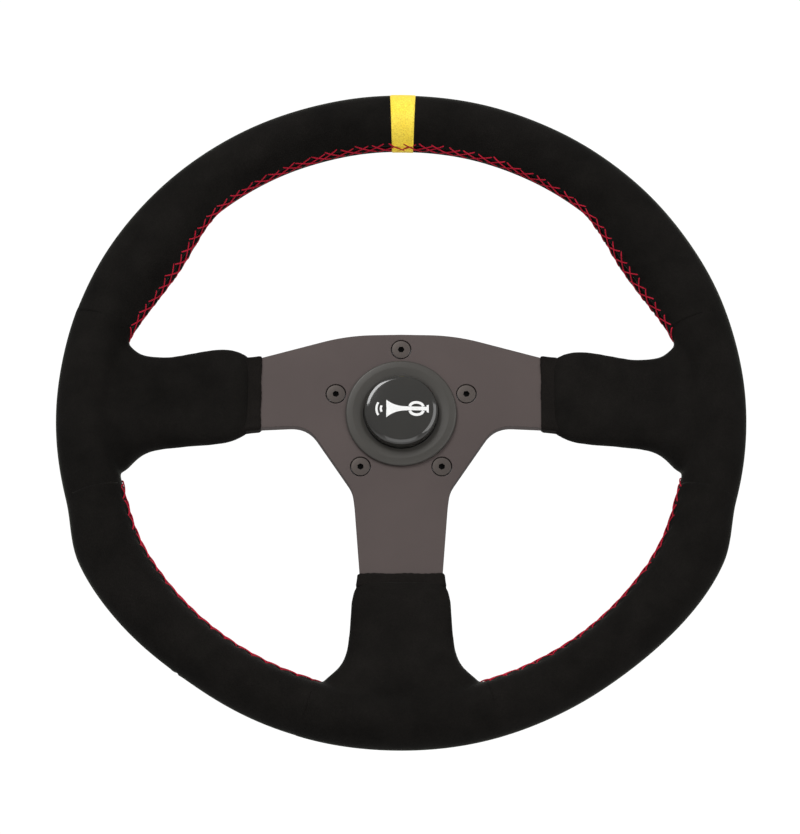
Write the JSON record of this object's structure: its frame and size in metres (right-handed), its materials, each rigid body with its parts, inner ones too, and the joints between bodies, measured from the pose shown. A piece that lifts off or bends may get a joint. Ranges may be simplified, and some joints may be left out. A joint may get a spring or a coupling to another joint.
{
  "type": "quick release steering wheel",
  "caption": "Round three-spoke suede motorsport steering wheel with centre horn button, on a sliding-collar ball-lock quick release and column boss.",
  "frame": {"origin": "centre of the column boss's rear face, where it meets the steering column", "axes": "+Y along the steering axis away from the driver, +Z towards the 12 o'clock band, +X to the driver's right"},
  "size_m": [0.3494, 0.0907, 0.3502],
  "materials": {
    "suede": "napped suede",
    "yellow_suede": "napped suede",
    "thread": "waxed thread",
    "foam": "moulded foam",
    "plate_alloy": "satin anodised",
    "bright_steel": "ground",
    "black_steel": "black oxide",
    "bezel": "satin anodised",
    "horn_cap": "gloss",
    "plastic": "matte",
    "brass": "bare",
    "hub_alloy": "machined",
    "collar_alloy": "red anodised"
  },
  "bodies": {
    "column_boss": {"column_boss": "black_steel"},
    "wheel": {"spoke_frame": "plate_alloy", "foam_front": "foam", "foam_rear": "foam", "pad_front_right": "foam", "pad_rear_right": "foam", "cuff_right": "suede", "grip_cover_right": "suede", "pad_front_left": "foam", "pad_rear_left": "foam", "cuff_left": "suede", "grip_cover_left": "suede", "pad_front_bottom": "foam", "pad_rear_bottom": "foam", "cuff_bottom": "suede", "grip_cover_bottom": "suede", "cover_top_right": "suede", "cover_lower_right": "suede", "cover_top_left": "suede", "cover_lower_left": "suede", "centre_stripe": "yellow_suede", "lacing_top": "thread", "lacing_right": "thread", "lacing_left": "thread", "plate_screw_1": "black_steel", "plate_screw_2": "black_steel", "plate_screw_3": "black_steel", "plate_screw_4": "black_steel", "plate_screw_5": "black_steel", "horn_bezel": "bezel", "horn_base": "plastic", "horn_terminal_1": "brass", "horn_terminal_2": "brass", "hub_body": "hub_alloy", "collar_spring": "bright_steel", "circlip": "black_steel"},
    "horn_button": {"horn_cap": "horn_cap", "horn_contact": "brass", "horn_spring": "bright_steel"},
    "release_collar": {"release_collar": "collar_alloy"},
    "lock_ball_1": {"lock_ball_1": "bright_steel"},
    "lock_ball_2": {"lock_ball_2": "bright_steel"},
    "lock_ball_3": {"lock_ball_3": "bright_steel"},
    "lock_ball_4": {"lock_ball_4": "bright_steel"},
    "lock_ball_5": {"lock_ball_5": "bright_steel"},
    "lock_ball_6": {"lock_ball_6": "bright_steel"}
  },
  "joints": [
    {"name": "wheel_pull_off", "type": "slide", "parent": "column_boss", "child": "wheel", "axis": [0, -1, 0], "range_m": [0, 0.055]},
    {"name": "horn_button_press", "type": "slide", "parent": "wheel", "child": "horn_button", "axis": [0, 1, 0], "range_m": [0, 0.002], "stiffness_N_per_m": 1500, "springref_m": -0.002},
    {"name": "release_collar_slide", "type": "slide", "parent": "wheel", "child": "release_collar", "axis": [0, -1, 0], "range_m": [-0.008, 0]},
    {"name": "lock_ball_1_travel", "type": "slide", "parent": "wheel", "child": "lock_ball_1", "axis": [0.866, 0, 0.5], "range_m": [-0.0018, 0]},
    {"name": "lock_ball_2_travel", "type": "slide", "parent": "wheel", "child": "lock_ball_2", "axis": [0, 0, 1], "range_m": [-0.0018, 0]},
    {"name": "lock_ball_3_travel", "type": "slide", "parent": "wheel", "child": "lock_ball_3", "axis": [-0.866, 0, 0.5], "range_m": [-0.0018, 0]},
    {"name": "lock_ball_4_travel", "type": "slide", "parent": "wheel", "child": "lock_ball_4", "axis": [-0.866, 0, -0.5], "range_m": [-0.0018, 0]},
    {"name": "lock_ball_5_travel", "type": "slide", "parent": "wheel", "child": "lock_ball_5", "axis": [0, 0, -1], "range_m": [-0.0018, 0]},
    {"name": "lock_ball_6_travel", "type": "slide", "parent": "wheel", "child": "lock_ball_6", "axis": [0.866, 0, -0.5], "range_m": [-0.0018, 0]}
  ],
  "couplings": [
    {"joint": "lock_ball_1_travel", "follows": "release_collar_slide", "ratio": 0.225},
    {"joint": "lock_ball_2_travel", "follows": "release_collar_slide", "ratio": 0.225},
    {"joint": "lock_ball_3_travel", "follows": "release_collar_slide", "ratio": 0.225},
    {"joint": "lock_ball_4_travel", "follows": "release_collar_slide", "ratio": 0.225},
    {"joint": "lock_ball_5_travel", "follows": "release_collar_slide", "ratio": 0.225},
    {"joint": "lock_ball_6_travel", "follows": "release_collar_slide", "ratio": 0.225}
  ]
}
